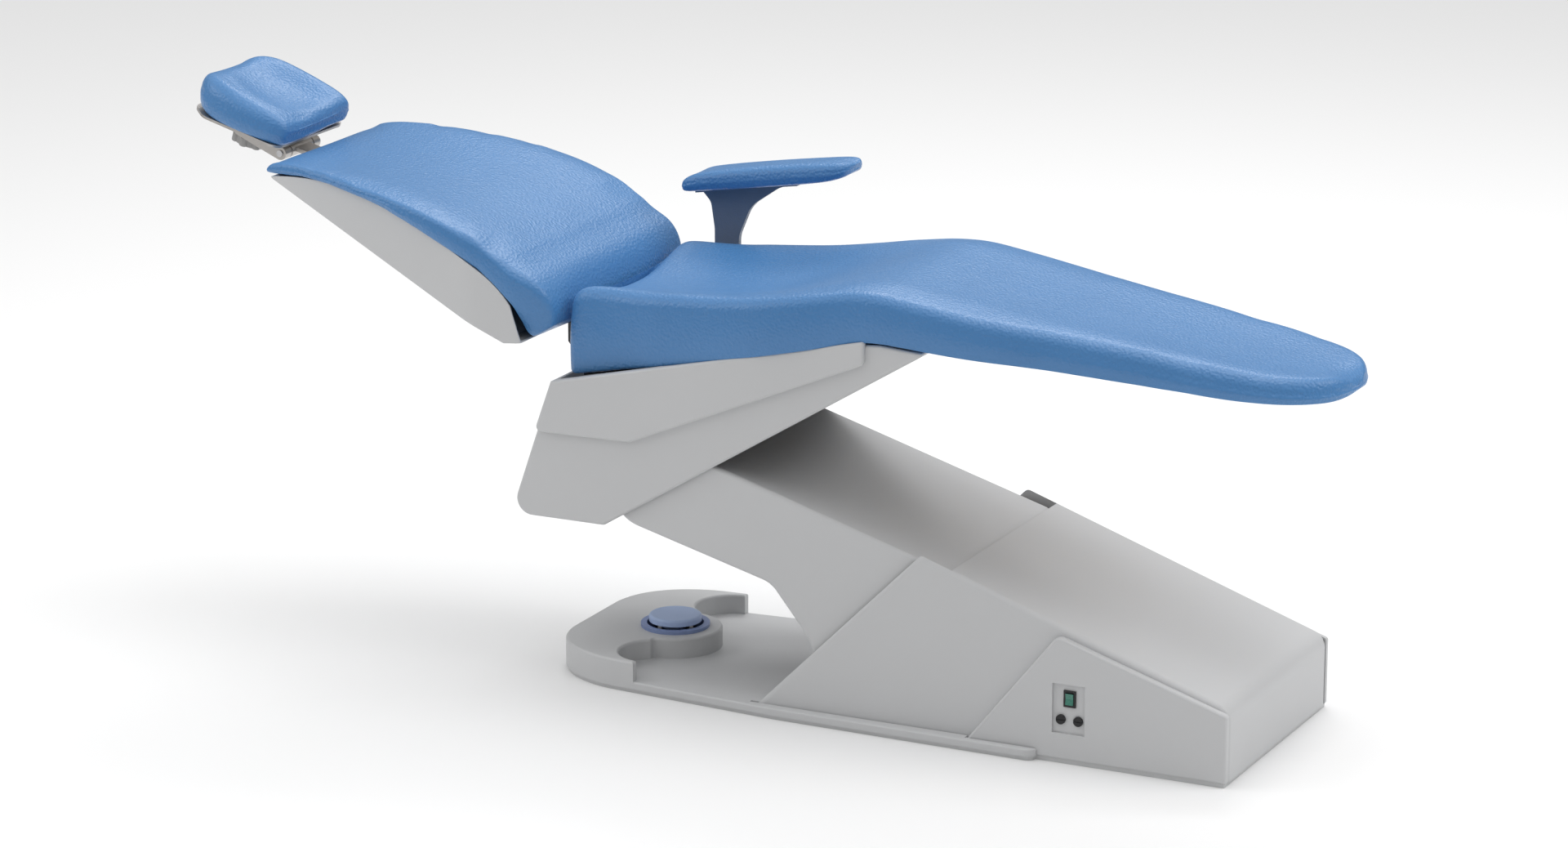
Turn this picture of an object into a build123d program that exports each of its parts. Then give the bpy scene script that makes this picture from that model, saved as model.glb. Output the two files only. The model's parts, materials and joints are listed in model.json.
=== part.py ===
from build123d import *
from math import atan, cos, degrees, radians, sin, tan
import os

# Dental patient chair, in millimetres. +X points to the foot end, -Y is the patient's right, +Z is up.
# The origin is the centre of the floor anchor holes, on the underside of the base plate.

# ---------------------------------------------------------------- driving dimensions
base_nose_x = -522          # head-side tip of the base
base_tail_x = 560           # foot-side end of the base and of the lift housing
plate_t = 6                 # steel base plate
plate_inset = 3             # the plate stands back from the cover round it
step_top = 17               # low moulded floor cover
step_end_x = 280            # foot-side end of the floor cover
step_half_w = 212
rim_top = 47                # raised rim round the nose of the base
rim_end_x = -361            # where both arms of the rim are cut off
bay_r = 53                  # round bays each side of the foot switch island
wall = 4                    # moulded covers
anchor_x = 360              # spacing of the floor anchors
anchor_y = 300
anchor_hole_r = 6.5

switch_x = -388             # centre of the foot switch
island_r = 70
switch_ring_r = 51
switch_cap_r = 39
switch_bore_r = 44
gimbal_r = 26

housing_half_w = 190        # lift housing
panel_half_w = 200          # thicker side panels on the housing
ear_x, ear_z = 94, 270      # peak of the housing's side walls
tail_z = 110                # height of the housing at its foot end
lid_front_x = 142           # front edge of the housing's top

arm_pivot = (121, 180)      # lift arm pivot on the base, X and Z
arm_length = 520
arm_rest_deg = 16.5         # arm above horizontal
arm_half_w = 180
arm_top_h = 68              # arm cover above the line between the pivots
arm_bottom_h = 70           # arm cover below it, at the seat end
link_drop = 40              # follower links below the main arm
lever_l = 88                # lift lever under the base pivot
lift_range = 16             # degrees each way

skin = 3                    # thin sheet covers
support_half_w = 188        # cover under the seat
side_panel_t = 8            # proud panels each side of that cover
support_bottom = 247
seat_line_x, seat_line_z = -487, 454   # rear end of the line that the seat cushion rests on
seat_deg = 13               # slope of that line
knee_x = 30                 # where it bends down to the leg rest
leg_deg = 4.4
toe_x = 668
seat_rear_x = -470
seat_half_w = 200
toe_half_w = 128
gap = 0.4                   # cushions stand clear of hard parts

back_pivot = (-522, 548)    # recline hinge, X and Z
roll_r = 47                 # lumbar end of the back cushion, round that hinge
back_lever_l = 130
back_lever_deg = 5          # foot-ward of straight down, at rest
back_raise = 45             # degrees the back comes up from rest
back_slope = 0.427          # rise over run of the underside of the back shell
back_half_w = 230
back_top_half_w = 162
back_top_x = -978

head_hinge = (-1019, 707)
head_tilt_hinge = (-1090, 738)
head_deg = 16
head_half_w = 106
head_length = 176
head_thick = 52
bar_deg = 15                # slope of the headrest bar
bar_lift = 4                # the bar sits on top of its hinge barrel
bar_half_w, bar_half_t = 20, 3

armrest_x, armrest_y = -406, 212
armrest_half_w = 38

shaft_r = 15                # main pivots
stub_r = 9                  # follower link pivots
pin_r = 6                   # small hinge pins
running = 0.05              # radial clearance of a running fit
rod_slack = 2.5             # slotted rod eyes on their lever pins

os.makedirs("parts", exist_ok=True)


# ---------------------------------------------------------------- helpers
def save(name, shape):
    solids = shape.solids()
    export_step(Compound(children=list(solids)) if len(solids) > 1 else solids[0], f"parts/{name}.step")


def xz_face(points, radii=0):
    """Closed outline in the XZ plane; radii is one fillet radius or one for each corner."""
    if radii == 0:
        outline = Polyline(*points, close=True)
    else:
        outline = FilletPolyline(*points, radius=radii, close=True)
    return Plane.XZ * make_face(outline)


def slab(face, y_from, y_to):
    """Extrude a face that lies in the XZ plane from one Y to another."""
    return Pos(0, y_from, 0) * extrude(face, amount=y_to - y_from, dir=(0, 1, 0))


def both_sides(face, y_from, y_to):
    return slab(face, y_from, y_to) + slab(face, -y_to, -y_from)


def plan(points, radii, z_from, z_to):
    """Extrude a closed outline in plan from one height to another."""
    return Pos(0, 0, z_from) * extrude(make_face(FilletPolyline(*points, radius=radii, close=True)),
                                       amount=z_to - z_from)


def rod(x, z, radius, y_from, y_to):
    """Round bar along Y."""
    return Pos(x, (y_from + y_to) / 2, z) * Rot(90, 0, 0) * Cylinder(radius, y_to - y_from)


def bar_x(z, y, radius, x_from, x_to):
    """Round bar along X."""
    return Pos((x_from + x_to) / 2, y, z) * Rot(0, 90, 0) * Cylinder(radius, x_to - x_from)


def block(x_from, x_to, y_from, y_to, z_from, z_to):
    return Pos((x_from + x_to) / 2, (y_from + y_to) / 2, (z_from + z_to) / 2) * Box(
        x_to - x_from, y_to - y_from, z_to - z_from)


def ring(outer_r, inner_r, height):
    return Cylinder(outer_r, height) - Cylinder(inner_r, height * 2)


def strap(start, end, radius):
    """Face of a link with round ends, in the XZ plane."""
    return Plane.XZ * make_hull((Pos(*start) * Circle(radius)).edges()
                                + (Pos(*end) * Circle(radius)).edges())


def seat_line(x):
    """Height of the underside of the seat cushion."""
    rise = tan(radians(seat_deg))
    if x <= knee_x:
        return seat_line_z + rise * (x - seat_line_x)
    return seat_line_z + rise * (knee_x - seat_line_x) - tan(radians(leg_deg)) * (x - knee_x)


def along(origin, degrees_up, forward, up):
    """Point at a distance along and above a line that rises towards -X."""
    c, s = cos(radians(degrees_up)), sin(radians(degrees_up))
    return (origin[0] - forward * c + up * s, origin[1] + forward * s + up * c)


# ---------------------------------------------------------------- base
ear_foot_x = ear_x - (ear_z - plate_t)      # the front edges of the side walls lean back at 45 degrees
nose = [(base_nose_x, -135), (-425, -182), (-128, -206), (step_end_x, -step_half_w),
        (step_end_x, step_half_w), (-128, 206), (-425, 182), (base_nose_x, 135)]
nose_radii = [115, 150, 400, 16, 16, 400, 150, 115]
floor_outline = make_face(FilletPolyline(*nose, radius=nose_radii, close=True))
tail_outline = Pos((base_tail_x + step_end_x) / 2 - 20, 0) * Rectangle(
    base_tail_x - step_end_x + 40, 2 * panel_half_w)

plate_outline = offset(floor_outline, -plate_inset) + offset(tail_outline, -plate_inset)
anchors = GridLocations(anchor_x, anchor_y, 2, 2)
plate_outline -= anchors * Circle(anchor_hole_r)
save("base_plate", extrude(plate_outline, amount=plate_t))

# Floor cover: a low step with a raised rim, two round bays and the island of the foot switch.
bay_y = island_r + bay_r
rim_outline = floor_outline & (Pos(rim_end_x - 200, 0) * Rectangle(400, 600))
rim_outline -= Pos(rim_end_x + 3, bay_y) * Circle(bay_r) + Pos(rim_end_x + 3, -bay_y) * Circle(bay_r)
rim_outline -= Pos(switch_x + 50, 0) * Rectangle(100, 2 * bay_y)
rim_outline += Pos(switch_x, 0) * Circle(island_r)
rim = Pos(0, 0, plate_t) * extrude(rim_outline, amount=rim_top - plate_t)
rim = fillet(rim.edges().filter_by(Axis.Z).filter_by(lambda e: abs(e.center().Y) < bay_y), 4)
rim = fillet(rim.edges().filter_by(Plane.XY).group_by(Axis.Z)[-1], 4)
rim_hollow = Pos(0, 0, plate_t) * extrude(offset(rim_outline, -wall), amount=rim_top - plate_t - wall)
step = Pos(0, 0, plate_t) * extrude(floor_outline, amount=step_top - plate_t)
step = fillet(step.edges().filter_by(Plane.XY).group_by(Axis.Z)[-1], 3)
step_hollow = Pos(0, 0, plate_t) * extrude(offset(floor_outline, -wall), amount=step_top - plate_t - wall)
well_x = -130               # the cover is open under the housing
well = block(well_x, step_end_x + 30, -panel_half_w - 1, panel_half_w + 1, 0, step_top + 20)
floor_cover = (step - step_hollow) + (rim - rim_hollow) - rim_hollow
floor_cover -= well & block(well_x, step_end_x + 30, -housing_half_w - 1, housing_half_w + 1, 0, 100)
floor_cover -= block(170, step_end_x + 30, -panel_half_w - 1, panel_half_w + 1, 0, 100)
floor_cover -= Pos(switch_x, 0, rim_top) * Cylinder(switch_bore_r, 20)
wall_slot = block(ear_foot_x - 0.5, 0, housing_half_w - wall - 0.5, housing_half_w + 0.5, plate_t, 100)
floor_cover -= wall_slot + mirror(wall_slot, about=Plane.XZ)
save("floor_cover", floor_cover)

# ---------------------------------------------------------------- foot switch
cap_bottom = rim_top + 8
save("foot_switch_ring", Pos(switch_x, 0, rim_top + 2.5) * ring(switch_ring_r, switch_bore_r - 2, 5)
     + Pos(switch_x, 0, rim_top - 6) * ring(switch_bore_r - gap, switch_bore_r - 2, 12))
switch_floor = plate_t + 6
housing_cup = Pos(switch_x, 0, switch_floor
                  + 12) * Cylinder(34, 24) - Pos(switch_x, 0, switch_floor + 15) * Cylinder(30, 24)
cup_posts = Pos(switch_x, 32, switch_floor
                + 26) * Box(10, 8, 12) + Pos(switch_x, -32, switch_floor + 26) * Box(10, 8, 12)
tilt_z = switch_floor + 28
cup_posts -= rod(switch_x, tilt_z, 3 + running, -40, 40)
save("foot_switch_body", housing_cup + cup_posts + Pos(switch_x, 0, plate_t + 3) * Cylinder(30, 6))
gimbal = Pos(switch_x, 0, tilt_z) * ring(gimbal_r, gimbal_r - 5, 7) + rod(
    switch_x, tilt_z, 3, gimbal_r - 2, 36) + rod(switch_x, tilt_z, 3, -36, -gimbal_r + 2)
gimbal -= bar_x(tilt_z, 0, 3 + running, switch_x - 40, switch_x + 40)
save("foot_switch_gimbal", gimbal)
cap = Pos(switch_x, 0, cap_bottom + 5) * Cylinder(switch_cap_r, 10)
cap = fillet(cap.edges().group_by(Axis.Z)[-1], 4)
stem = Pos(switch_x, 0, (tilt_z + cap_bottom) / 2) * Cylinder(8, cap_bottom - tilt_z + 8)
stem += bar_x(tilt_z, 0, 3, switch_x - gimbal_r - 1, switch_x + gimbal_r + 1)
save("foot_switch_cap", cap + stem)

# ---------------------------------------------------------------- lift housing
housing_points = [(ear_foot_x, plate_t), (ear_x, ear_z), (base_tail_x, tail_z), (base_tail_x, plate_t)]
housing_face = xz_face(housing_points, [0, 10, 25, 0])
housing_block = slab(housing_face, -housing_half_w, housing_half_w)
lid_edges = housing_block.edges().filter_by(lambda e: e.center().X > ear_x and e.center().Z > plate_t + 30
                                            and abs(abs(e.center().Y) - housing_half_w) < 0.1)
housing_block = fillet(lid_edges, 8)
inner_points = [(ear_foot_x - 20, -20), (ear_x, ear_z - wall * 1.07),
                (base_tail_x - wall, tail_z - wall * 1.07), (base_tail_x - wall, -20)]
inner = slab(xz_face(inner_points, [2, 2, 22, 2]), -housing_half_w + wall, housing_half_w - wall)
front_open = block(ear_foot_x - 60, lid_front_x, -housing_half_w + wall, housing_half_w - wall, -20,
                   ear_z + 20)
pocket_x, pocket_z, pocket_w, pocket_h, pocket_d = 326, 80, 49, 72, 4
window = block(pocket_x - 21, pocket_x + 21, -panel_half_w, -housing_half_w + wall + 5, pocket_z - 33,
               pocket_z + 33)
gland_x, gland_z, gland_r = 500, 40, 9
housing_cover = housing_block - inner - front_open - window
housing_cover -= rod(gland_x, gland_z, gland_r, 0, panel_half_w)
save("housing_cover", housing_cover)

panel_points = [(165, plate_t), (307, 184), (base_tail_x, 104), (base_tail_x, plate_t)]
panel_face = xz_face(panel_points, [4, 14, 5, 2])
panel = slab(panel_face, -panel_half_w, -housing_half_w)
panel = fillet(panel.edges().filter_by(lambda e: abs(e.center().Y + panel_half_w) < 0.1), 4)
panel_inner = slab(offset(panel_face, -skin), -panel_half_w + skin, -housing_half_w)
pocket_walls = block(pocket_x - pocket_w / 2 - skin, pocket_x + pocket_w / 2 + skin, -panel_half_w + 1,
                     -housing_half_w - 1,
                     pocket_z - pocket_h / 2 - skin, pocket_z + pocket_h / 2 + skin)
pocket = block(pocket_x - pocket_w / 2, pocket_x + pocket_w / 2, -panel_half_w - 1, -panel_half_w
               + pocket_d,
               pocket_z - pocket_h / 2, pocket_z + pocket_h / 2)
panel_shell = panel - panel_inner
left_panel = mirror(panel_shell,
                    about=Plane.XZ) + rod(gland_x, gland_z, gland_r + 5, housing_half_w, panel_half_w - 1)
save("side_panel_left", left_panel - rod(gland_x, gland_z, gland_r, 0, panel_half_w + 1))

rocker_x, rocker_z, rocker_w, rocker_h = pocket_x + 1, 95, 18, 24
fuse_z, fuse_r, fuse_pitch = 64, 7, 26
pocket_y = -panel_half_w + pocket_d
right_panel = panel_shell + pocket_walls - pocket
right_panel -= block(rocker_x - rocker_w / 2 + 1, rocker_x + rocker_w / 2 - 1, -panel_half_w, 0,
                     rocker_z - rocker_h / 2 + 1, rocker_z + rocker_h / 2 - 1)
fuse_xs = (rocker_x - fuse_pitch / 2, rocker_x + fuse_pitch / 2)
for x in fuse_xs:
    right_panel -= rod(x, fuse_z, fuse_r - 1.5, -panel_half_w, 0)
save("side_panel_right", right_panel)

# Mains rocker switch and fuse caps in the pocket.
frame = block(rocker_x - rocker_w / 2, rocker_x + rocker_w / 2, pocket_y - 2.5, pocket_y,
              rocker_z - rocker_h / 2, rocker_z + rocker_h / 2)
frame += block(rocker_x - rocker_w / 2 + 1.3, rocker_x + rocker_w / 2 - 1.3, pocket_y - 1, pocket_y + 20,
               rocker_z - rocker_h / 2 + 1.3, rocker_z + rocker_h / 2 - 1.3)
frame -= block(rocker_x - rocker_w / 2 + 3, rocker_x + rocker_w / 2 - 3, pocket_y - 5, pocket_y + 12,
               rocker_z - rocker_h / 2 + 3, rocker_z + rocker_h / 2 - 3)
rocker_pivot_y = pocket_y + 4
frame -= Pos(rocker_x, rocker_pivot_y, rocker_z) * Rot(0, 90, 0) * Cylinder(1.5 + running, rocker_w - 3)
save("rocker_frame", frame)
rocker_half_w, rocker_half_h = rocker_w / 2 - 3.4, rocker_h / 2 - 3.8
rocker_face = [(pocket_y - 4.5, rocker_z - rocker_half_h), (pocket_y - 3, rocker_z),
               (pocket_y - 4.5, rocker_z + rocker_half_h),
               (rocker_pivot_y + 2, rocker_z + rocker_half_h - 3),
               (rocker_pivot_y + 2, rocker_z - rocker_half_h + 3)]
rocker = extrude(Plane.YZ * make_face(Polyline(*rocker_face, close=True)), amount=rocker_half_w, both=True)
rocker = Pos(rocker_x, 0, 0) * rocker
rocker += Pos(rocker_x, rocker_pivot_y, rocker_z) * Rot(0, 90, 0) * Cylinder(1.5, rocker_w - 4)
save("rocker_switch", rocker)

for side, x in zip(("front", "rear"), fuse_xs):
    cap_body = rod(x, fuse_z, fuse_r, pocket_y - 3.5, pocket_y
                   - 0.1) + rod(x, fuse_z, fuse_r - 3, pocket_y - 1, pocket_y + 9)
    cap_body -= block(x - fuse_r, x + fuse_r, pocket_y - 5, pocket_y - 2.5, fuse_z - 0.8, fuse_z + 0.8)
    save(f"fuse_cap_{side}", cap_body)
holders = Part()
for x in fuse_xs:
    holders += rod(x, fuse_z, fuse_r - 1.5, pocket_y, pocket_y
                   + 22) - rod(x, fuse_z, fuse_r - 3 + running, pocket_y - 1, pocket_y + 10)
save("fuse_holders", holders)

# Mains cord gland on the patient's left, with a nut inside the housing.
nut_y = housing_half_w - wall
gland = rod(gland_x, gland_z, gland_r - 0.1, nut_y - 12, panel_half_w + 1)
gland += rod(gland_x, gland_z, gland_r + 3, panel_half_w, panel_half_w + 5)
gland += rod(gland_x, gland_z, gland_r, panel_half_w + 4, panel_half_w
             + 12) + rod(gland_x, gland_z, gland_r + 4, nut_y - 6, nut_y)
save("cable_gland", gland - rod(gland_x, gland_z, 4, 0, 300))

# ---------------------------------------------------------------- base frame and pivots
px, pz = arm_pivot
upright_y, upright_t = 96, 12
upright_points = [(px - 95, plate_t), (px - 34, pz), (px + 34, pz), (px + 110, plate_t)]
upright_face = xz_face(upright_points) + Plane.XZ * (Pos(px, pz) * Circle(34))
uprights = both_sides(upright_face, upright_y, upright_y + upright_t)
uprights += block(px + 10, px + 100, -upright_y, upright_y, plate_t, plate_t + 12)
uprights -= rod(px, pz, shaft_r, -200, 200) + rod(px, pz - link_drop, stub_r, -200, 200)
lift_axis_z = pz - lever_l + lever_l * (1 - cos(radians(lift_range))) / 2
motor_x = px + 330
clevis = both_sides(xz_face([(motor_x - 30, plate_t), (motor_x - 14, lift_axis_z + 14),
                             (motor_x + 14, lift_axis_z + 14), (motor_x + 30, plate_t)]), 30, 38)
clevis -= rod(motor_x, lift_axis_z, pin_r, -100, 100)
save("base_frame", uprights)
save("actuator_clevis", clevis)
save("base_pivot_shaft", rod(px, pz, shaft_r - 0.01, -upright_y - upright_t - 4, upright_y + upright_t + 4))
save("base_link_pins", rod(px, pz - link_drop, stub_r - 0.01, upright_y - 12, upright_y + upright_t + 3)
     + rod(px, pz - link_drop, stub_r - 0.01, -upright_y - upright_t - 3, -upright_y + 12))

# ---------------------------------------------------------------- lift arm
qx, qz = along(arm_pivot, arm_rest_deg, arm_length, 0)
tube_half = upright_y - 12
arm_plates = both_sides(strap((px, pz), (qx, qz), 26), 68, 78)
cross_web = slab(strap(along(arm_pivot, arm_rest_deg, 90, 0),
                       along(arm_pivot, arm_rest_deg, arm_length - 90, 0), 8), -68, 68)
tubes = rod(px, pz, 26, -tube_half, tube_half) + rod(qx, qz, 26, -tube_half, tube_half)
lever = both_sides(strap((px, pz), (px, pz - lever_l), 15), 16, 26)
bush_r = shaft_r + 4
main_arm = arm_plates + cross_web + tubes + lever
main_arm -= rod(px, pz, bush_r, -200,
                200) + rod(qx, qz, bush_r, -200, 200) + rod(px, pz - lever_l, pin_r, -100, 100)
save("main_arm", main_arm)


def bushes(x, z):
    pair = rod(x, z, bush_r - 0.01, tube_half - 40,
               tube_half) + rod(x, z, bush_r - 0.01, -tube_half, -tube_half + 40)
    return pair - rod(x, z, shaft_r + running, -200, 200)


save("base_bushes", bushes(px, pz))
save("seat_bushes", bushes(qx, qz))
save("lift_lever_pin", rod(px, pz - lever_l, pin_r - 0.01, -29, 29))

links = both_sides(strap((px, pz - link_drop), (qx, qz - link_drop), 14), upright_y - 10, upright_y - 3)
links -= rod(px, pz - link_drop, stub_r + running, -200,
             200) + rod(qx, qz - link_drop, stub_r + running, -200, 200)
save("follower_links", links)

# Arm cover: flat top and sides, and an underside that sweeps down into the housing as a shroud.
shroud_tip = (px - 189, pz - 114)
lower_knee = (px - 265, pz + 13)
cover_start = along(arm_pivot, arm_rest_deg, arm_length + 15, 0)
top_start = along(cover_start, arm_rest_deg, 0, arm_top_h)
top_end = along(arm_pivot, arm_rest_deg, 0, arm_top_h)
bottom_start = along(cover_start, arm_rest_deg, 0, -arm_bottom_h)
heel = (px + 66, pz + 14)
arm_outline = [top_start, top_end, heel, (px + 40, pz - 60), (px - 100, pz - 128), shroud_tip,
               (px - 204, pz - 62), lower_knee, bottom_start]
arm_face = xz_face(arm_outline, [55, 60, 30, 20, 6, 3, 55, 40, 55])
arm_block = slab(arm_face, -arm_half_w, arm_half_w)
arm_block = fillet(arm_block.edges().filter_by(
    lambda e: abs(abs(e.center().Y) - arm_half_w) < 0.1 and e.length > 300 and e.center().Z > pz + 60), 6)
arm_inner = slab(offset(arm_face, -skin), -arm_half_w + skin, arm_half_w - skin)
belly_open = slab(xz_face([(px + 90, pz + 10), (px + 90, pz - 140), shroud_tip[:1] + (pz - 140,),
                           (shroud_tip[0] + 4, shroud_tip[1] + 8), (px - 60, pz - 62)]), -arm_half_w
                  + skin, arm_half_w - skin)
belly_open += slab(xz_face([(px + 90, pz - 50), (px + 90, pz - 140), (shroud_tip[0] + 4, pz - 140),
                            (shroud_tip[0] + 4, shroud_tip[1] - 3)]), -arm_half_w - 1, arm_half_w + 1)
top_cut_x = qx + 128
head_open = block(qx - 120, top_cut_x, -arm_half_w + skin, arm_half_w - skin, qz - 10, qz + 200)
head_open += block(qx - 120, qx + 24, -arm_half_w + skin, arm_half_w - skin, qz - 120, qz + 200)
save("arm_cover", arm_block - arm_inner - belly_open - head_open)

# ---------------------------------------------------------------- lift actuator
save("lift_actuator_body", bar_x(lift_axis_z, 0, 24, px + 70, px + 270)
     - bar_x(lift_axis_z, 0, 12 + running, px + 60, px + 255)
     + block(px + 262, motor_x + 12, -26, 26, lift_axis_z - 24, lift_axis_z + 24)
     - rod(motor_x, lift_axis_z, pin_r, -100, 100))
save("lift_actuator_pin", rod(motor_x, lift_axis_z, pin_r - 0.01, -42, 42))


def slotted_rod(x, z, x_end, radius, travel):
    """Push rod along X whose eye has an upright slot for the lever pin."""
    eye_r = pin_r + rod_slack + 6
    eye = slab(strap((x, z - travel / 2), (x, z + travel / 2), eye_r), -11, 11)
    stem_bar = bar_x(z, 0, radius, x + eye_r - 4, x_end)
    slot = slab(strap((x, z - travel / 2), (x, z + travel / 2), pin_r + rod_slack), -60, 60)
    return eye + stem_bar - slot


lift_versine = lever_l * (1 - cos(radians(lift_range)))
save("lift_actuator_rod", slotted_rod(px, lift_axis_z, px + 215, 12, lift_versine))

# ---------------------------------------------------------------- electrics in the housing
save("control_box", fillet(block(px + 150, px + 290, 62, 172, plate_t, 76).edges().filter_by(Axis.Z), 6))

# ---------------------------------------------------------------- seat frame
pan_x0 = seat_rear_x + 14
pan_t = 5
pan_top = 0.4


def pan_z(x):
    return seat_line(x) - pan_top


pan_face = xz_face([(pan_x0, pan_z(pan_x0)), (knee_x, pan_z(knee_x)), (knee_x, pan_z(knee_x) - pan_t),
                    (pan_x0, pan_z(pan_x0) - pan_t)])
hanger_face = xz_face([(qx - 30, qz), (qx + 30, qz), (qx + 58, qz + 92),
                       (qx + 170, pan_z(qx + 170) - pan_t / 2), (qx - 60, pan_z(qx - 60) - pan_t / 2)])
hanger_face += strap((qx, qz), (qx, qz - link_drop), 19) + Plane.XZ * (Pos(qx, qz) * Circle(30))
seat_frame = slab(pan_face, -150, 150) + both_sides(hanger_face, upright_y, upright_y + upright_t)
seat_frame -= rod(qx, qz, shaft_r, -200, 200) + rod(qx, qz - link_drop, stub_r, -200, 200)
save("seat_frame", seat_frame)
save("seat_pivot_shaft", rod(qx, qz, shaft_r - 0.01, -upright_y - upright_t - 4, upright_y + upright_t + 4))
save("seat_link_pins", rod(qx, qz - link_drop, stub_r - 0.01, upright_y - 12, upright_y + upright_t + 3)
     + rod(qx, qz - link_drop, stub_r - 0.01, -upright_y - upright_t - 3, -upright_y + 12))

# Leg rest board, let into the underside of the cushion.
board_points = [(knee_x + 6, -150), (380, -118), (toe_x - 55, -70), (toe_x - 55, 70), (380, 118),
                (knee_x + 6, 150)]
board_side = xz_face([(knee_x + 6, seat_line(knee_x + 6) - gap), (toe_x, seat_line(toe_x) - gap),
                      (toe_x, seat_line(toe_x) - gap - 9), (knee_x + 6, seat_line(knee_x + 6) - gap - 9)])
board = plan(board_points, [8, 60, 50, 50, 60, 8], 400, 700) & slab(board_side, -200, 200)
save("leg_rest_board", board)
bracket_face = xz_face([(-120, pan_z(-120) - pan_t - 0.1), (knee_x, pan_z(knee_x) - pan_t - 0.1),
                        (knee_x + 6, seat_line(knee_x + 6) - 9.6), (250, seat_line(250) - 9.6),
                        (250, seat_line(250) - 17), (20, seat_line(20) - 38), (-120, pan_z(-120) - 30)])
save("leg_rest_brackets", both_sides(bracket_face, 50, 56))

# ---------------------------------------------------------------- covers under the seat
support_lean = 0.346        # run over rise of the rear of the cover
support_foot_x = seat_line_x - (seat_line_z - support_bottom) * support_lean
slope_foot_x = -407
slope_tip = (88, 551)
support_face = xz_face([(seat_line_x, seat_line_z - gap), (support_foot_x, support_bottom),
                        (slope_foot_x, support_bottom), slope_tip,
                        (slope_tip[0] + 8, seat_line(slope_tip[0] + 8) - 10),
                        (knee_x, seat_line(knee_x) - 10), (knee_x - 60, seat_line(knee_x - 60) - gap)],
                       [3, 24, 8, 6, 2, 4, 2])
support_block = slab(support_face, -support_half_w, support_half_w)
support_block = fillet(
    support_block.edges().filter_by(lambda e: abs(abs(e.center().Y) - support_half_w) < 0.1
                                    and e.center().Z < seat_line(e.center().X) - 22), 4)
cavity_points = [(seat_line_x + 9, 640), (seat_line_x + 9, seat_line_z - 10),
                 (support_foot_x + 9, support_bottom + wall + 8),
                 (support_foot_x + 14, support_bottom + wall), (slope_foot_x + 2, support_bottom + wall),
                 (slope_tip[0] - 12, slope_tip[1] + 1), (slope_tip[0] - 12, 640)]
support_cavity = slab(xz_face(cavity_points), -support_half_w + wall, support_half_w - wall)
arm_mouth = slab(xz_face([(slope_foot_x - 25, support_bottom - 20),
                          (slope_foot_x - 25, support_bottom + 30), (-150, 470), (-150, 350),
                          (-200, 247)]), -support_half_w + wall, support_half_w - wall)
actuator_notch = block(support_foot_x - 40, seat_line_x + 30, -56, 56, 380, 480)
actuator_notch += block(30, 130, -62, 62, 480, 600)
save("support_cover", support_block - support_cavity - arm_mouth - actuator_notch)

panel_y0 = support_half_w
panel_y1 = support_half_w + side_panel_t
strip_points = [(seat_line_x, seat_line_z - gap), (-515, 376), (-360, 378), (8, 534),
                (8, seat_line(8) - gap)]
strip_face = xz_face(strip_points, [2, 8, 6, 12, 3])
strip = slab(strip_face, -panel_y1, -panel_y0)
strip = fillet(strip.edges().filter_by(lambda e: abs(e.center().Y + panel_y1) < 0.1
                                       and e.center().Z < seat_line(e.center().X) - 8), 4)
strip -= slab(offset(strip_face, -skin), -panel_y1 + skin, -panel_y0)
save("seat_side_panel_right", strip)
save("seat_side_panel_left", mirror(strip, about=Plane.XZ))

# ---------------------------------------------------------------- seat cushion, one piece to the toe
rear_end, toe_end = seat_rear_x - 1, toe_x + 1
top_points = [(rear_end, seat_line(rear_end) + gap), (rear_end, 560), (seat_rear_x + 40, 588),
              (-200, 607), (-10, 640), (60, 636), (520, 571), (toe_end, 552),
              (toe_end, seat_line(toe_end) + 6), (toe_x - 60, seat_line(toe_x - 60) + gap),
              (knee_x, seat_line(knee_x) + gap)]
cushion_side = xz_face(top_points, [8, 25, 30, 200, 30, 60, 60, 18, 10, 40, 4])
cushion_plan = [(seat_rear_x, -182), (-160, -seat_half_w), (130, -194), (380, -160),
                (560, -toe_half_w - 6), (toe_x, -60), (toe_x, 60), (560, toe_half_w + 6), (380, 160),
                (130, 194), (-160, seat_half_w), (seat_rear_x, 182)]
cushion = plan(cushion_plan, [14, 80, 200, 120, 100, 62, 62, 100, 120, 200, 80, 14], 400,
               700) & slab(cushion_side, -300, 300)
save("seat_cushion", cushion)

# ---------------------------------------------------------------- recline hinge
rx, rz = back_pivot
hinge_y, hinge_t = 40, 9
neck_root = seat_rear_x + 16
neck = [(rx - 14, rz), (rx - 14, rz - 74), (rx + 22, rz - 118),
        (neck_root + 70, pan_z(neck_root + 70) - pan_t - 26),
        (neck_root + 70, pan_z(neck_root + 70) - pan_t - 0.1),
        (neck_root, pan_z(neck_root) - pan_t - 0.1), (neck_root - 22, rz - 99), (rx + 14, rz - 74),
        (rx + 14, rz)]
neck_face = xz_face(neck) + Plane.XZ * (Pos(rx, rz) * Circle(14))
brackets = both_sides(neck_face, hinge_y, hinge_y + hinge_t) - rod(rx, rz, 8, -100, 100)
save("recline_brackets", brackets)
circlips = Part()
for x, z in ((px, pz), (qx, qz)):
    for side in (-1, 1):
        y0 = side * (upright_y + upright_t)
        circlips += rod(x, z, shaft_r + 5, min(y0, y0 + side * 3),
                        max(y0, y0 + side * 3)) - rod(x, z, shaft_r - 0.005, -200, 200)
base_clips = circlips & block(px - 40, px + 40, -200, 200, pz - 40, pz + 40)
save("base_shaft_clips", base_clips)
save("seat_shaft_clips", circlips & block(qx - 40, qx + 40, -200, 200, qz - 40, qz + 40))
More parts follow.
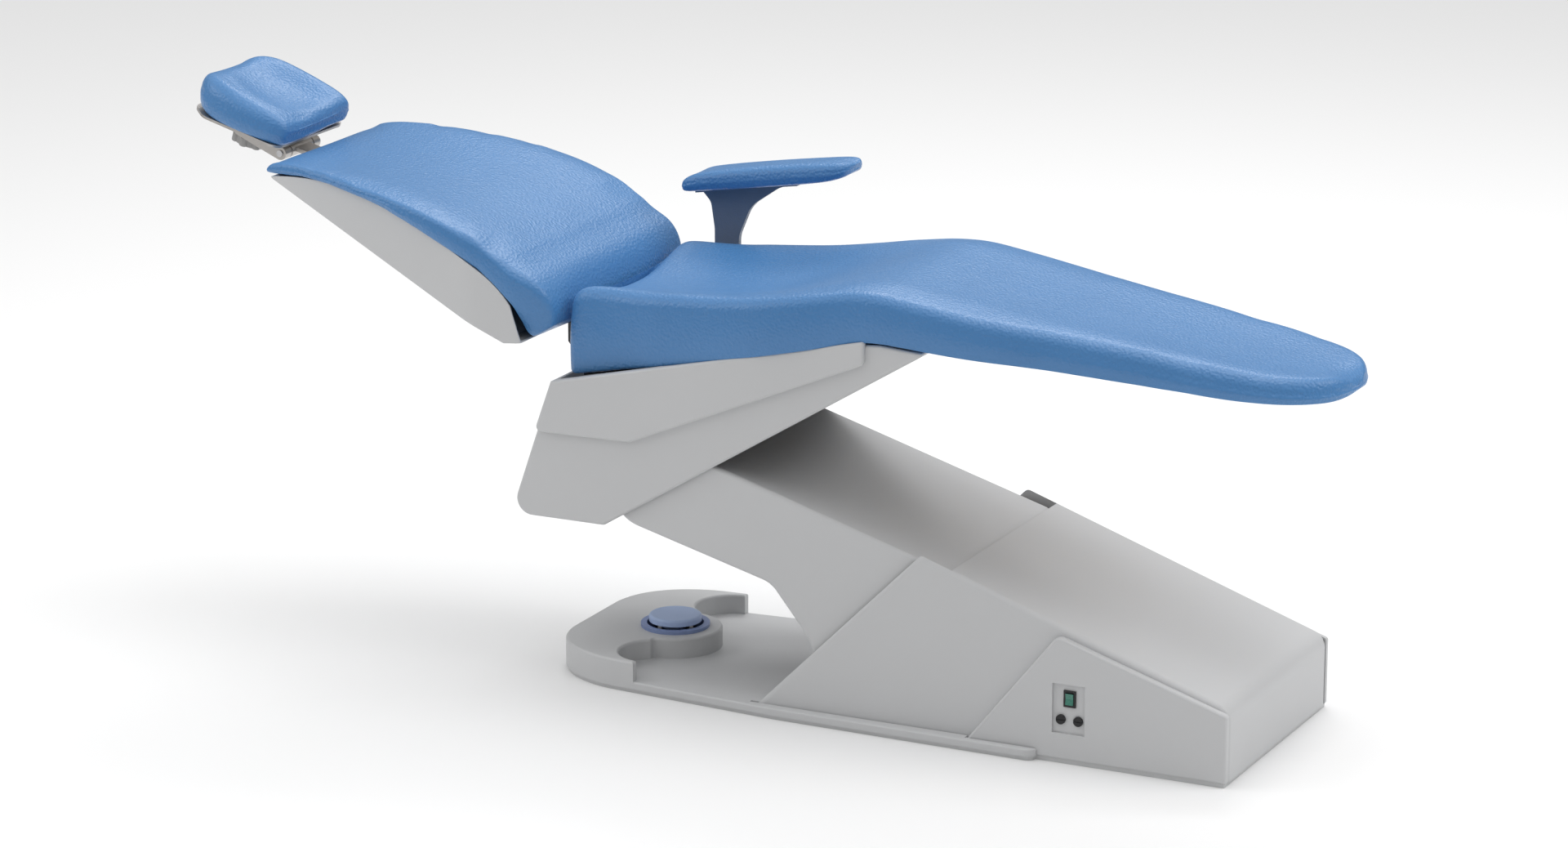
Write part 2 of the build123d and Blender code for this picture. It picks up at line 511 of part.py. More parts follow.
save("recline_pin", rod(rx, rz, 8 - 0.01, -hinge_y - hinge_t - 3, hinge_y + hinge_t + 3))

# ---------------------------------------------------------------- backrest
spine_deg = degrees(atan(0.388))
spine = strap((rx, rz), along(back_pivot, spine_deg, 350, 0), 11)
back_frame = slab(spine, -hinge_y + 2, -hinge_y + 12) + slab(spine, hinge_y - 12, hinge_y - 2)
back_frame += rod(rx, rz, 15, -hinge_y + 1, hinge_y - 1)
for forward in (90, 200):
    x, z = along(back_pivot, spine_deg, forward, 0)
    back_frame += slab(strap((x - 9, z), (x + 9, z), 7), -hinge_y + 4, hinge_y - 4)
lever_end = (rx + back_lever_l * sin(radians(back_lever_deg)),
             rz - back_lever_l * cos(radians(back_lever_deg)))
back_frame += both_sides(strap((rx, rz), lever_end, 13), 14, 22)
back_frame -= rod(rx, rz, 8 + running, -100, 100) + rod(*lever_end, pin_r, -100, 100)
save("back_frame", back_frame)
save("back_lever_pin", rod(*lever_end, pin_r - 0.01, -24, 24))

back_versine = back_lever_l * (1 - cos(radians(back_raise - back_lever_deg)))
back_axis_z = rz - back_lever_l + back_versine / 2
save("back_actuator_rod", slotted_rod(lever_end[0], back_axis_z, lever_end[0] + 234, 9, back_versine))
body_x0 = lever_end[0] + 58
save("back_actuator_body", bar_x(back_axis_z, 0, 18, body_x0, body_x0 + 230)
     - bar_x(back_axis_z, 0, 9 + running, body_x0 - 5, body_x0 + 215)
     + block(body_x0 + 225, body_x0 + 275, -22, 22, back_axis_z - 22, back_axis_z + 22))
mount_x = body_x0 + 250
mount_face = xz_face([(mount_x - 14, back_axis_z - 14), (mount_x + 14, back_axis_z - 14),
                      (mount_x + 30, pan_z(mount_x + 30) - pan_t - 0.1),
                      (mount_x - 30, pan_z(mount_x - 30) - pan_t - 0.1)])
save("back_actuator_mount", both_sides(mount_face, 22.2, 28))


def back_underside(x):
    return 511 + back_slope * (-541 - x)


shell_line = [(back_top_x + 12, 700), (-900, 706), (-830, 702), (-765, 688), (-694, 663), (-621, 632),
              (-565, 598), (-536, 566)]
pad_line = [(back_top_x, 711), (-950, 720), (-900, 720), (-840, 716), (-760, 706), (-680, 688),
            (-600, 660), (-545, 629)]
back_plan_points = [(back_top_x, -back_top_half_w), (-600, -back_half_w), (rx, -back_half_w + 6),
                    (rx + 60, -back_half_w + 44), (rx + 60, back_half_w - 44), (rx, back_half_w - 6),
                    (-600, back_half_w), (back_top_x, back_top_half_w)]
back_plan = plan(back_plan_points, [22, 120, 30, 16, 16, 30, 120, 22], 400, 900)
shell_low = [(shell_line[0][0], back_underside(shell_line[0][0]) + 6), (-560, back_underside(-560))]
shell_profile = Spline(
    *shell_line).edges() + Polyline(shell_line[-1], (rx + 2, rz - 36), (rx - 24, rz - 38), shell_low[0],
                                    shell_line[0]).edges()
shell_block = slab(Plane.XZ * make_face(shell_profile), -300, 300)
shell_inner_profile = [(back_top_x + 20, 720), (back_top_x + 20, back_underside(back_top_x + 20) + 14),
                       (rx - 24, rz - 34),
                       (rx + 30, rz - 34), (rx + 30, 720)]
inset_plan = [(x + (6 if x < -900 else 0), y - (wall if y > 0 else -wall)) for x, y in back_plan_points]
shell_cavity = plan(inset_plan, [18, 116, 26, 12, 12, 26, 116, 18], 400,
                    900) & slab(xz_face(shell_inner_profile), -300, 300)
bracket_path = block(rx - 40, rx + 100, -hinge_y - hinge_t - 4, hinge_y + hinge_t + 4, rz - 200, rz + 10)
shell_plan = plan([(x, y - (1.5 if y > 0 else -1.5)) for x, y in back_plan_points],
                  [22, 120, 30, 16, 16, 30, 120, 22], 400, 900)
hx, hz = head_hinge
bar_root = (hx, hz + bar_lift)
bar_slot = slab(strap(along(bar_root, bar_deg, -260, 0), bar_root, 8.5), -hinge_y, hinge_y)
save("back_shell", (shell_block & shell_plan) - shell_cavity - bracket_path - bar_slot)

pad_under = [(x, z + 0.8) for x, z in shell_line]
roll_line = Polyline(pad_line[-1], (rx - 4, rz + roll_r + 14), (rx + 34, rz + 33), (rx + roll_r, rz + 4),
                     (rx + 43, rz - 17), (rx + 5.5, rz - 34.5), (rx - 12.5, rz + 19), pad_under[-1])
pad_profile = Spline(
    *pad_under).edges() + Line(pad_under[0],
                               pad_line[0]).edges() + Spline(*pad_line).edges() + roll_line.edges()
pad_block = slab(Plane.XZ * make_face(pad_profile), -300, 300) & back_plan
hinge_room = xz_face([(rx - 30, rz - 60), (rx - 30, rz + 19), (rx + 8, rz + 24), (rx + 25, rz + 4),
                      (rx + 70, rz + 4),
                      (rx + 70, rz - 60)])
roll_pocket = slab(hinge_room, -hinge_y - hinge_t - 5, hinge_y + hinge_t + 5)
save("back_cushion", pad_block - roll_pocket)

# ---------------------------------------------------------------- headrest
bar_face = strap(bar_root, along(bar_root, bar_deg, -230, 0), bar_half_t)
bar_plate = slab(bar_face, -bar_half_w, bar_half_w) + rod(hx, hz, 10, -30, 30) - rod(hx, hz, 5, -100, 100)
save("headrest_bar", bar_plate)
guide_half_w = hinge_y - 12
bar_hole = slab(strap(along(bar_root, bar_deg, -300, 0), bar_root, bar_half_t + running), -bar_half_w
                - running,
                bar_half_w + running)
guide = slab(strap(along(bar_root, bar_deg, -225, 0), along(bar_root, bar_deg, -142, 0), 8),
             -guide_half_w, guide_half_w)
save("headrest_guide", guide - bar_hole)
save("headrest_hinge_pin", rod(hx, hz, 5 - 0.01, -52, 52))

tx, tz = head_tilt_hinge
fork = both_sides(strap((hx, hz), (tx, tz), 10), 32,
                  50) - rod(hx, hz, 5 + running, -100, 100) - rod(tx, tz, 5, -100, 100)
fork += rod(hx + 0.29 * (tx - hx), hz + 0.29 * (tz - hz), 5, -33, 33)
save("headrest_fork", fork)
save("headrest_tilt_pin", rod(tx, tz, 5 - 0.01, -52, 52))

base_mid = along((tx, tz), head_deg, 0, 17)
pad_centre = along(base_mid, head_deg, -14, 0)
head_frame = Plane(origin=(pad_centre[0], 0, pad_centre[1]),
                   x_dir=(cos(radians(head_deg)), 0, -sin(radians(head_deg))),
                   z_dir=(sin(radians(head_deg)), 0, cos(radians(head_deg))))
head_outline = FilletPolyline((-head_length / 2, -head_half_w + 30),
                              (-head_length / 2 + 34, -head_half_w), (head_length / 2, -head_half_w),
                              (head_length / 2, head_half_w), (-head_length / 2 + 34, head_half_w),
                              (-head_length / 2, head_half_w - 30), radius=[34, 34, 26, 26, 34, 34],
                              close=True)
head_face = make_face(head_outline)
plate_face = offset(head_face, -7)
head_plate = extrude(plate_face, amount=-4)
pads_block = extrude(head_face, amount=head_thick)
pads_block = fillet(pads_block.edges().group_by(Axis.Z)[-1], 18)
pads_block = fillet(pads_block.edges().group_by(Axis.Z)[0], 6)
save("headrest_cushion", head_frame * (Pos(0, 0, gap) * pads_block))
knob_axis = Plane(origin=(tx, 0, tz), x_dir=(cos(radians(head_deg)), 0, -sin(radians(head_deg))),
                  z_dir=(sin(radians(head_deg)), 0, cos(radians(head_deg))))
knob_sketch = Circle(27)
for i in range(8):
    knob_sketch += Rot(0, 0, i * 45) * (Pos(25, 0) * Circle(6.5))
knob = extrude(knob_sketch, amount=-13)
knob = fillet(knob.edges().group_by(Axis.Z)[0], 2)
knob_stem = Pos(0, 0, 7) * Cylinder(5, 14)
knuckle = rod(tx, tz, 11, -30, 30) + head_frame * (Pos(-14, 0, -8) * Box(22, 60, 10))
knuckle += knob_axis * (Pos(0, 0, -12) * Cylinder(9, 10))
knuckle -= rod(tx, tz, 5 + running, -100, 100) + knob_axis * (Pos(0, 0, -11) * Cylinder(5 + running, 13))
save("headrest_plate", head_frame * head_plate + knuckle)
save("headrest_lock_knob", knob_axis * (Pos(0, 0, -20) * (knob + knob_stem)))

# ---------------------------------------------------------------- armrest on the patient's left
ax, ay = armrest_x, armrest_y
rest_rise = tan(radians(9))


def armrest_under(x):
    return 662 + rest_rise * (x + 431)


bracket_outline = [(ax - 20, 486), (ax - 20, 600), (ax - 26, 640), (ax - 44, armrest_under(ax - 44)),
                   (ax + 120, armrest_under(ax + 120)),
                   (ax + 84, armrest_under(ax + 84) - 9), (ax + 40, 640), (ax + 20, 592), (ax + 20, 486)]
bracket_face = xz_face(bracket_outline, [6, 60, 20, 2, 2, 30, 50, 40, 6])
t_bracket = slab(bracket_face, ay - 4, ay + 4)
top_flange = xz_face([(ax - 44, armrest_under(ax - 44) + 0.1), (ax + 124, armrest_under(ax + 124) + 0.1),
                      (ax + 124, armrest_under(ax + 124) - 4),
                      (ax - 44, armrest_under(ax - 44) - 4)])
t_bracket += slab(top_flange, ay - 20, ay + 20)
t_bracket += Pos(ax, ay, 438) * Cylinder(10, 104)
t_bracket += Pos(ax, ay, 474) * Cylinder(15, 8)
save("armrest_bracket", t_bracket)
socket = Pos(ax, ay, 430) * Cylinder(15.5, 78) - Pos(ax, ay, 430) * Cylinder(10 + running, 200)
socket += block(ax - 30, ax + 30, panel_y1, panel_y1 + 6, 392, 440) - Pos(ax, ay, 430) * Cylinder(12, 200)
save("armrest_socket", socket)
rest_side = xz_face([(ax - 62, armrest_under(ax - 62) + 0.5), (ax + 212, armrest_under(ax + 212) + 0.5),
                     (ax + 212, armrest_under(ax + 212) + 27),
                     (ax - 62, armrest_under(ax - 62) + 27)], [10, 10, 12, 12])
rest_plan = plan([(ax - 62, ay - armrest_half_w), (ax + 212, ay - armrest_half_w),
                  (ax + 212, ay + armrest_half_w), (ax - 62, ay + armrest_half_w)],
                 [24, 24, 24, 24], 600, 800)
save("armrest_pad", rest_plan & slab(rest_side, ay - 60, ay + 60))
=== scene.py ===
import bpy
import bmesh
import json
from math import cos, pi, radians, sin, sqrt, tan
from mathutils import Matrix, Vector


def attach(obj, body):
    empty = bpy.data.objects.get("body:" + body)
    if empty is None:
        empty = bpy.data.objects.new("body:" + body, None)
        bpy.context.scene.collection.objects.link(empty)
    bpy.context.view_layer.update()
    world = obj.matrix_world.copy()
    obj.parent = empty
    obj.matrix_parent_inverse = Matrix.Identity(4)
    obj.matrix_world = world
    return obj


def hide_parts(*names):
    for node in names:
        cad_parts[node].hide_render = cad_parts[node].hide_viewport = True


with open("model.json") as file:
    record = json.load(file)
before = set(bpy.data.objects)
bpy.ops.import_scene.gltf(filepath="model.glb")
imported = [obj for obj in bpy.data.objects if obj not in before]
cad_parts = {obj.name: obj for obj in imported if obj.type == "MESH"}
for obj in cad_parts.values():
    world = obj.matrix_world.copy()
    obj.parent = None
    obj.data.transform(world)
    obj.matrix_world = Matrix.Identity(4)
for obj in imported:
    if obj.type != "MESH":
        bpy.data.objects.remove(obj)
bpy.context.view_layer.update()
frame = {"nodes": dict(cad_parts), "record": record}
nodes = frame["nodes"]
MM = 0.001

# ------------------------------------------------------------ sizes shared with the model, in millimetres
SEAT_LINE = (-487, 454)      # rear end of the line under the seat cushion
SEAT_DEG = 13
KNEE_X = 30
LEG_DEG = 4.4
BACK_PIVOT = (-522, 548)      # recline axis
TILT_HINGE = (-1090, 738)     # headrest tilt axis
HEAD_DEG = 16
ARMREST_Y = 212
ARMREST_FOOT = (-431, 662.6)  # a point on the underside of the armrest pad
ARMREST_DEG = 9
SEAT_REAR = -471
TOE = 668


# ------------------------------------------------------------ finishes
def finish(name, **sockets):
    """A Principled surface with the given constant sockets."""
    material = bpy.data.materials.new(name)
    material.use_nodes = True
    shader = material.node_tree.nodes["Principled BSDF"]
    for key, value in sockets.items():
        shader.inputs[key.replace("_", " ")].default_value = value
    return material


def add(material, kind, **settings):
    node = material.node_tree.nodes.new(kind)
    for key, value in settings.items():
        if key in node.inputs:
            node.inputs[key].default_value = value
        else:
            setattr(node, key, value)
    return node


def link(material, a, b):
    material.node_tree.links.new(a, b)


def object_coords(material):
    return add(material, "ShaderNodeTexCoord").outputs["Object"]


def noise(material, coords, scale, detail=3.0, roughness=0.5):
    node = add(material, "ShaderNodeTexNoise", Scale=scale, Detail=detail, Roughness=roughness)
    link(material, coords, node.inputs["Vector"])
    return node.outputs["Fac"]


def cells(material, coords, scale, feature="F1"):
    node = add(material, "ShaderNodeTexVoronoi", Scale=scale, feature=feature)
    link(material, coords, node.inputs["Vector"])
    return node.outputs["Distance"]


def remap(material, value, low, high):
    node = add(material, "ShaderNodeMapRange")
    node.inputs["To Min"].default_value = low
    node.inputs["To Max"].default_value = high
    link(material, value, node.inputs["Value"])
    return node.outputs["Result"]


def mix_colours(material, factor, first, second):
    node = add(material, "ShaderNodeMix", data_type="RGBA")
    node.inputs[6].default_value = (*first, 1)
    node.inputs[7].default_value = (*second, 1)
    link(material, factor, node.inputs[0])
    return node.outputs[2]


def bump(material, height, distance, strength, below=None):
    node = add(material, "ShaderNodeBump", Distance=distance, Strength=strength)
    link(material, height, node.inputs["Height"])
    if below:
        link(material, below, node.inputs["Normal"])
    return node.outputs["Normal"]


def wear(material, first, second, scale, rough, grain_scale, grain_depth, grain_strength=0.5):
    """Cloudy colour, uneven roughness and a fine grain, which most hard finishes here share."""
    shader = material.node_tree.nodes["Principled BSDF"]
    coords = object_coords(material)
    cloud = noise(material, coords, scale, 4)
    link(material, mix_colours(material, cloud, first, second), shader.inputs["Base Color"])
    link(material, remap(material, noise(material, coords, scale * 5), *rough), shader.inputs["Roughness"])
    grain = noise(material, coords, grain_scale, 2)
    link(material, bump(material, grain, grain_depth, grain_strength), shader.inputs["Normal"])
    return material


def leatherette():
    """Blue coated upholstery: small leather cells, finer wrinkles between them, and a sheen that varies."""
    material = finish("blue_leatherette", IOR=1.5, Specular_IOR_Level=0.5, Coat_Weight=0.08,
                      Coat_Roughness=0.28, Sheen_Weight=0.04, Sheen_Roughness=0.4)
    shader = material.node_tree.nodes["Principled BSDF"]
    coords = object_coords(material)
    cloud = noise(material, coords, 7, 3)
    link(material, mix_colours(material, cloud, (0.056, 0.196, 0.440), (0.070, 0.226, 0.495)),
         shader.inputs["Base Color"])
    link(material, remap(material, noise(material, coords, 60, 3), 0.29, 0.42), shader.inputs["Roughness"])
    pebbles = cells(material, coords, 260, "SMOOTH_F1")
    crease = noise(material, coords, 900, 2, 0.6)
    soft = bump(material, noise(material, coords, 45, 2), 0.0006, 0.35)
    grain = bump(material, pebbles, 0.0012, 0.85, soft)
    link(material, bump(material, crease, 0.0003, 0.45, grain), shader.inputs["Normal"])
    return material


LEATHER = leatherette()
COVER = wear(finish("moulded_cover", Specular_IOR_Level=0.42), (0.555, 0.56, 0.567), (0.585, 0.59, 0.598),
             3, (0.40, 0.52), 700, 0.0003, 0.25)
PLATE = wear(finish("plate_paint", Metallic=0.1), (0.56, 0.565, 0.57), (0.60, 0.605, 0.61),
             6, (0.40, 0.55), 500, 0.0003)
STEEL = wear(finish("coated_steel", Metallic=0.25), (0.030, 0.032, 0.037), (0.050, 0.052, 0.058),
             14, (0.38, 0.55), 500, 0.0003)
BRIGHT = wear(finish("ground_steel", Metallic=1.0), (0.50, 0.50, 0.51), (0.62, 0.62, 0.63),
              25, (0.20, 0.36), 800, 0.0001)
BRONZE = wear(finish("bearing_bronze", Metallic=1.0), (0.42, 0.27, 0.11), (0.52, 0.36, 0.17),
              40, (0.3, 0.45), 700, 0.0001)
RING = wear(finish("switch_ring", Specular_IOR_Level=0.5), (0.225, 0.295, 0.520), (0.260, 0.335, 0.570),
            30, (0.36, 0.48), 900, 0.0002)
CAP = wear(finish("switch_cap", Specular_IOR_Level=0.5), (0.40, 0.52, 0.79), (0.46, 0.58, 0.84),
           40, (0.32, 0.42), 900, 0.0002)
BLACK = wear(finish("black_plastic", Specular_IOR_Level=0.4), (0.010, 0.010, 0.011), (0.018, 0.018, 0.020),
             50, (0.34, 0.5), 900, 0.0002)
GREEN = wear(finish("green_rocker", Specular_IOR_Level=0.5, Coat_Weight=0.3), (0.045, 0.19, 0.14),
             (0.06, 0.24, 0.18), 60, (0.22, 0.34), 900, 0.0001)
BRACKET = wear(finish("grey_blue_coat", Metallic=0.15, Specular_IOR_Level=0.5), (0.150, 0.180, 0.235),
               (0.185, 0.215, 0.275), 18, (0.36, 0.5), 420, 0.0005, 0.4)
HEAD_METAL = wear(finish("brushed_hinge", Metallic=0.85), (0.42, 0.40, 0.38), (0.52, 0.50, 0.48),
                  30, (0.28, 0.42), 800, 0.0001)
KNOB = wear(finish("grey_knob", Specular_IOR_Level=0.45), (0.30, 0.30, 0.30), (0.37, 0.365, 0.36),
            40, (0.42, 0.58), 600, 0.0003)
BOARD = wear(finish("sealed_plywood", Specular_IOR_Level=0.35), (0.40, 0.27, 0.14), (0.50, 0.36, 0.20),
             22, (0.5, 0.65), 300, 0.0004)

SLOTS = {"frame_steel": STEEL, "plate_paint": PLATE, "bright_steel": BRIGHT, "bronze": BRONZE,
         "white_cover": COVER, "upholstery": LEATHER,
         "switch_ring": RING, "switch_cap": CAP, "black_plastic": BLACK, "green_plastic": GREEN,
         "armrest_metal": BRACKET, "headrest_metal": HEAD_METAL, "grey_plastic": KNOB, "plywood": BOARD}

for part in frame["record"]["subparts"]:
    shown = nodes[part["node"]]
    shown.data.materials.clear()
    shown.data.materials.append(SLOTS[part["material_slot"]])


# ------------------------------------------------------------ upholstery
def smooth(t):
    t = min(max(t, 0.0), 1.0)
    return t * t * (3 - 2 * t)


def through(table, x):
    """Smooth curve through a table of (x, value) rows in rising x."""
    if x <= table[0][0]:
        return table[0][1]
    if x >= table[-1][0]:
        return table[-1][1]
    for i in range(len(table) - 1):
        (x0, y0), (x1, y1) = table[i], table[i + 1]
        if x <= x1:
            before = table[i - 1] if i else table[0]
            after = table[i + 2] if i + 2 < len(table) else table[-1]
            m0 = (y1 - before[1]) / (x1 - before[0]) if x1 != before[0] else 0
            m1 = (after[1] - y0) / (after[0] - x0) if after[0] != x0 else 0
            w = x1 - x0
            t = (x - x0) / w
            return ((2 * t ** 3 - 3 * t ** 2 + 1) * y0 + (t ** 3 - 2 * t ** 2 + t) * w * m0
                    + (3 * t ** 2 - 2 * t ** 3) * y1 + (t ** 3 - t ** 2) * w * m1)


def pad_section(half_w, thick, dish, edge_r, foot_r, bulge):
    """Half outline of a pad's section, from the middle of its top to the middle of its underside."""
    edge_r = min(edge_r, thick * 0.6, half_w * 0.9)
    foot_r = min(foot_r, thick - edge_r)
    inner = half_w - edge_r
    points = []
    for i in range(9):
        u = i / 8
        points.append((inner * u, thick - dish * (1 - smooth(u) * u)))
    for i in range(1, 7):
        a = i / 6 * pi / 2
        points.append((inner + edge_r * sin(a), thick - edge_r + edge_r * cos(a)))
    wall = thick - edge_r - foot_r
    for i in range(1, 5):
        u = i / 4
        points.append((half_w + bulge * sin(pi * u), thick - edge_r - wall * u))
    for i in range(1, 4):
        a = i / 3 * pi / 2
        points.append((half_w - foot_r + foot_r * cos(a), foot_r - foot_r * sin(a)))
    for i in range(1, 6):
        points.append(((half_w - foot_r) * (1 - i / 5), 0))
    return points


def loft(name, stations, middle_y=0):
    """Closed pad from stations: top point, bottom point, half width, dish, edge and foot radius, bulge."""
    mesh = bmesh.new()
    rings = []
    for top, bottom, half_w, dish, edge_r, foot_r, bulge in stations:
        axis = Vector((top[0] - bottom[0], 0, top[1] - bottom[1]))
        thick = axis.length
        up = axis.normalized()
        base = Vector((bottom[0], 0, bottom[1]))
        half = pad_section(half_w, thick, dish, edge_r, foot_r, bulge)
        outline = half + [(-y, z) for y, z in reversed(half[1:-1])]
        rings.append([mesh.verts.new((base + up * z + Vector((0, y + middle_y, 0))) * MM)
                      for y, z in outline])
    count = len(rings[0])
    for a, b in zip(rings, rings[1:]):
        for i in range(count):
            j = (i + 1) % count
            mesh.faces.new((a[i], a[j], b[j], b[i]))
    for ring in (rings[0], rings[-1]):
        half = count // 2
        for i in range(half):
            j, k = count - i, count - i - 1
            quad = [ring[i], ring[i + 1], ring[k], ring[j % count]]
            corners = list(dict.fromkeys(quad))
            if len(corners) > 2:
                mesh.faces.new(corners)
    bmesh.ops.recalc_face_normals(mesh, faces=mesh.faces)
    data = bpy.data.meshes.new(name)
    mesh.to_mesh(data)
    mesh.free()
    pad = bpy.data.objects.new(name, data)
    bpy.context.scene.collection.objects.link(pad)
    return pad


def apply_modifier(pad, modifier):
    """Replace a pad's mesh by its evaluated one, and drop the modifier."""
    made = bpy.data.meshes.new_from_object(pad.evaluated_get(bpy.context.evaluated_depsgraph_get()))
    pad.modifiers.remove(modifier)
    made.name = pad.name
    pad.data = made
    made.materials.clear()
    made.materials.append(LEATHER)
    return made


def stuffed(pad, pressure, most, levels, frames=14):
    """Swell a pad with cloth simulation, limit how far each point moves, and subdivide it."""
    data = pad.data
    rest = [v.co.copy() for v in data.vertices]
    cloth = pad.modifiers.new("swell", "CLOTH")
    settings = cloth.settings
    settings.quality = 4
    settings.mass = 0.3
    settings.tension_stiffness = settings.compression_stiffness = 30
    settings.shear_stiffness = 15
    settings.bending_stiffness = 4
    settings.use_pressure = True
    settings.uniform_pressure_force = pressure
    settings.effector_weights.gravity = 0
    cloth.point_cache.frame_start = 1
    cloth.point_cache.frame_end = frames
    for number in range(1, frames + 1):
        bpy.context.scene.frame_set(number)
    shape = pad.evaluated_get(bpy.context.evaluated_depsgraph_get())
    moved = [v.co.copy() for v in shape.data.vertices]
    pad.modifiers.remove(cloth)
    bpy.context.scene.frame_set(1)
    for vertex, start, end in zip(data.vertices, rest, moved):
        shift = end - start
        limit = most * MM
        if shift.length > limit:
            shift = shift.normalized() * limit
        vertex.co = start + shift
    data.polygons.foreach_set("use_smooth", [True] * len(data.polygons))
    rounding = pad.modifiers.new("rounding", "SUBSURF")
    rounding.levels = rounding.render_levels = levels
    made = apply_modifier(pad, rounding)
    made.polygons.foreach_set("use_smooth", [True] * len(made.polygons))


def cut_room(pad, outline, half_w):
    """Cut a room with a side outline right through a pad, between half_w each side of its middle."""
    mesh = bmesh.new()
    sides = []
    for y in (-half_w, half_w):
        sides.append([mesh.verts.new(Vector((x, y, z)) * MM) for x, z in outline])
    right, left = sides
    for i in range(len(outline)):
        mesh.faces.new((right[i - 1], right[i], left[i], left[i - 1]))
    mesh.faces.new(right)
    mesh.faces.new(left)
    bmesh.ops.recalc_face_normals(mesh, faces=mesh.faces)
    data = bpy.data.meshes.new("room")
    mesh.to_mesh(data)
    mesh.free()
    room = bpy.data.objects.new("room", data)
    bpy.context.scene.collection.objects.link(room)
    cut = pad.modifiers.new("room", "BOOLEAN")
    cut.operation = "DIFFERENCE"
    cut.solver = "MANIFOLD"
    cut.object = room
    apply_modifier(pad, cut)
    bpy.data.objects.remove(room)


def round_off(distance, radius):
    """How far a round of this radius stands back, at a distance from the end."""
    return radius - sqrt(max(0, radius ** 2 - (radius - distance) ** 2))


def upholster(pad, body, node):
    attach(pad, body)
    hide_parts(node)


# Seat and leg rest, one long pad.
def seat_under(x):
    rise = tan(radians(SEAT_DEG))
    if x <= KNEE_X:
        return SEAT_LINE[1] + rise * (x - SEAT_LINE[0])
    return SEAT_LINE[1] + rise * (KNEE_X - SEAT_LINE[0]) - tan(radians(LEG_DEG)) * (x - KNEE_X)


# Heights, half widths and dish of the seat pad along X.
SEAT_TOP = [(-478, 584), (-440, 588), (-380, 591), (-320, 595), (-260, 600), (-200, 606), (-140, 615),
            (-80, 626), (-20, 635), (30, 637), (100, 628), (160, 619), (220, 611), (280, 603.5), (340, 596),
            (400, 588), (460, 579), (520, 571), (580, 563), (640, 557), (668, 553)]
SEAT_WIDE = [(-478, 172), (-440, 176), (-380, 180), (-320, 188), (-260, 193), (-200, 198), (-140, 203),
             (-80, 202), (-20, 196), (40, 197), (100, 195), (160, 191), (220, 182), (280, 172), (340, 164),
             (400, 156), (460, 149), (520, 141), (560, 132), (600, 117), (630, 96), (650, 72), (662, 46),
             (668, 18)]
SEAT_DISH = [(-478, 26), (-400, 25), (-200, 20), (-100, 10), (-20, 3), (100, 4), (300, 5), (520, 5),
             (668, 2)]
SEAT_UNDER = [(x, seat_under(x) - 1.5) for x in range(-478, 1, 34)]
SEAT_UNDER += [(30, 567), (50, 566), (120, 561), (180, 557), (240, 553.5), (300, 549), (360, 544),
               (420, 539), (480, 534), (540, 529), (600, 525), (668, 523)]
REAR_ROUND, CORNER_ROUND, TOE_ROUND = 30, 16, 22
SEAT_EDGE, SEAT_FOOT, SEAT_BULGE = 20, 5, 3
seat_xs = [SEAT_REAR + 3.5 * i for i in range(4)] + [-457 + 8 * i for i in range(5)]
seat_xs += [-420 + 13.5 * i for i in range(76)] + [606 + 9 * i for i in range(5)]
seat_xs += [648, 654, 659, 663, 666, TOE]
stations = []
for x in seat_xs:
    top, under = through(SEAT_TOP, x), through(SEAT_UNDER, x)
    half_w, dish = through(SEAT_WIDE, x), through(SEAT_DISH, x)
    from_rear, from_toe = x - SEAT_REAR, TOE - x
    if from_rear < REAR_ROUND:
        top -= round_off(from_rear, REAR_ROUND) * 0.8
        under += max(0, 12 - from_rear) * 0.5
        half_w -= round_off(min(from_rear, CORNER_ROUND), CORNER_ROUND) * 0.7
    if from_toe < TOE_ROUND:
        drop = round_off(from_toe, TOE_ROUND)
        top -= drop * 0.75
        under += drop * 0.35
    stations.append(((x, top), (x, under), half_w, dish, SEAT_EDGE, SEAT_FOOT, SEAT_BULGE))
seat_pad = loft("seat_pad", stations)
stuffed(seat_pad, 3, 3, 1)
upholster(seat_pad, "seat", "seat_cushion")

# Backrest pad: thin at the head end, wrapped round the recline hinge as a lumbar roll.
def from_pivot(x, z):
    return (BACK_PIVOT[0] + x, BACK_PIVOT[1] + z)


BACK_TOP = [(-979, 708), (-972, 714), (-960, 717.5), (-940, 719.5), (-920, 720), (-880, 719),
            (-840, 716.5), (-800, 712), (-760, 706), (-720, 698.5), (-680, 689), (-640, 676.5),
            (-600, 660), (-575, 647.5)]
BACK_UNDER = [(-979, 702), (-966, 701), (-900, 707), (-830, 703), (-765, 689), (-694, 664), (-621, 633),
              (-590, 615)]
BACK_WIDE = [(-979, 155), (-974, 160), (-966, 163), (-950, 168), (-900, 182), (-840, 197),
             (-760, 213), (-680, 225), (-620, 230), (-575, 230)]
BACK_DISH = [(-979, 0), (-960, 5), (-920, 8), (-800, 9), (-680, 8), (-575, 5)]
back_xs = [-979, -977, -974.5, -971.5, -967.5] + [-962 + 387 * i / 48 for i in range(49)]
stations = []
for x in back_xs:
    lean = 13 * smooth((x + 760) / 185)
    top, under = (x, through(BACK_TOP, x)), (x - lean, through(BACK_UNDER, x - lean))
    stations.append((top, under, through(BACK_WIDE, x), through(BACK_DISH, x), 9, 6, 1.5))
